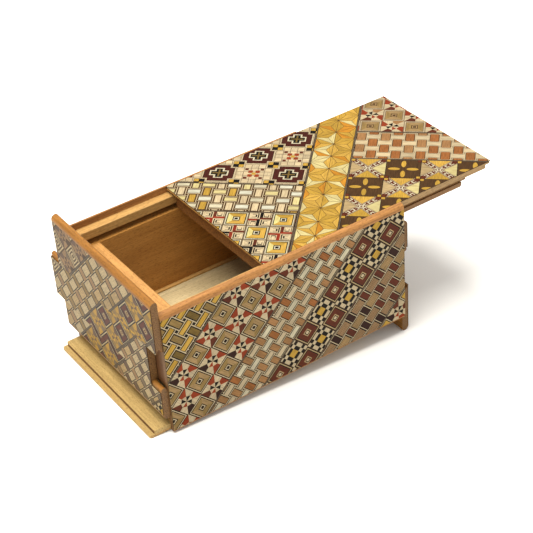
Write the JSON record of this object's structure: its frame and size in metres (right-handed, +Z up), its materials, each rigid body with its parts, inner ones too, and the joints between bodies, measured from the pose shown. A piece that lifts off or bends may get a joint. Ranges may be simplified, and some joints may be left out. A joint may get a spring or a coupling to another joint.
{
  "type": "puzzle box",
  "caption": "Secret-opening wooden box clad in geometric marquetry, with a sliding lid and base and end panels cut into key strips; shown part opened.",
  "frame": {"origin": "on the underside of the base plate, in the middle of the closed box's footprint", "axes": "+X along the box's length towards the end the lid slides out of, +Y from the front wall to the rear wall, +Z up"},
  "size_m": [0.2583, 0.1255, 0.1083],
  "materials": {
    "edge_wood": "satin",
    "rail_wood": "satin",
    "lining_wood": "satin",
    "floor_wood": "satin",
    "plate_wood": "satin",
    "board_wood": "satin",
    "marquetry": "satin",
    "end_marquetry": "satin",
    "key_wood": "satin"
  },
  "bodies": {
    "carcass": {"front_wall": "edge_wood", "rear_wall": "edge_wood", "front_veneer": "marquetry", "rear_veneer": "marquetry", "front_lid_rail": "rail_wood", "rear_lid_rail": "rail_wood", "front_base_rail": "rail_wood", "rear_base_rail": "rail_wood", "left_end_cap": "rail_wood", "right_end_cap": "rail_wood", "front_liner": "lining_wood", "rear_liner": "lining_wood", "left_inner_end": "lining_wood", "right_inner_end": "lining_wood", "floor_panel": "floor_wood", "floor_border": "rail_wood", "left_stop_battens": "key_wood", "right_stop_battens": "key_wood"},
    "lid": {"lid_veneer": "marquetry", "lid_board": "board_wood", "lid_core": "board_wood", "lid_web": "edge_wood", "lid_runner": "edge_wood"},
    "base": {"base_veneer": "plate_wood", "base_board": "plate_wood", "base_core": "plate_wood", "base_web": "plate_wood", "base_runner": "plate_wood"},
    "left_carrier": {"left_carrier": "key_wood", "left_carrier_lug": "key_wood"},
    "left_tall": {"left_tall_strip": "edge_wood", "left_tall_veneer": "end_marquetry"},
    "left_middle": {"left_middle_strip": "edge_wood", "left_middle_veneer": "end_marquetry", "left_middle_tongue": "edge_wood", "left_middle_key": "key_wood"},
    "left_short": {"left_short_strip": "edge_wood", "left_short_veneer": "end_marquetry", "left_short_tongue": "edge_wood"},
    "right_carrier": {"right_carrier": "key_wood", "right_carrier_lug": "key_wood"},
    "right_tall": {"right_tall_strip": "edge_wood", "right_tall_veneer": "end_marquetry"},
    "right_middle": {"right_middle_strip": "edge_wood", "right_middle_veneer": "end_marquetry", "right_middle_tongue": "edge_wood", "right_middle_key": "key_wood"},
    "right_short": {"right_short_strip": "edge_wood", "right_short_veneer": "end_marquetry", "right_short_tongue": "edge_wood"}
  },
  "joints": [
    {"name": "lid_slide", "type": "slide", "parent": "carcass", "child": "lid", "axis": [1, 0, 0], "range_m": [-0.072, 0.05]},
    {"name": "base_slide", "type": "slide", "parent": "carcass", "child": "base", "axis": [1, 0, 0], "range_m": [0, 0.0143]},
    {"name": "left_end_lift", "type": "slide", "parent": "carcass", "child": "left_carrier", "axis": [0, 0, 1], "range_m": [-0.006, 0.0039]},
    {"name": "right_end_lift", "type": "slide", "parent": "carcass", "child": "right_carrier", "axis": [0, 0, 1], "range_m": [0, 0.0004]},
    {"name": "left_tall_slide", "type": "slide", "parent": "left_carrier", "child": "left_tall", "axis": [0, 1, 0], "range_m": [-0.0008, 0]},
    {"name": "left_middle_slide", "type": "slide", "parent": "left_carrier", "child": "left_middle", "axis": [0, 1, 0], "range_m": [-0.0115, 0]},
    {"name": "left_short_slide", "type": "slide", "parent": "left_carrier", "child": "left_short", "axis": [0, 1, 0], "range_m": [-0.0015, 0]},
    {"name": "right_tall_slide", "type": "slide", "parent": "right_carrier", "child": "right_tall", "axis": [0, 1, 0], "range_m": [-0.0029, 0]},
    {"name": "right_middle_slide", "type": "slide", "parent": "right_carrier", "child": "right_middle", "axis": [0, 1, 0], "range_m": [-0.0115, 0]},
    {"name": "right_short_slide", "type": "slide", "parent": "right_carrier", "child": "right_short", "axis": [0, 1, 0], "range_m": [-0.0031, 0]}
  ]
}
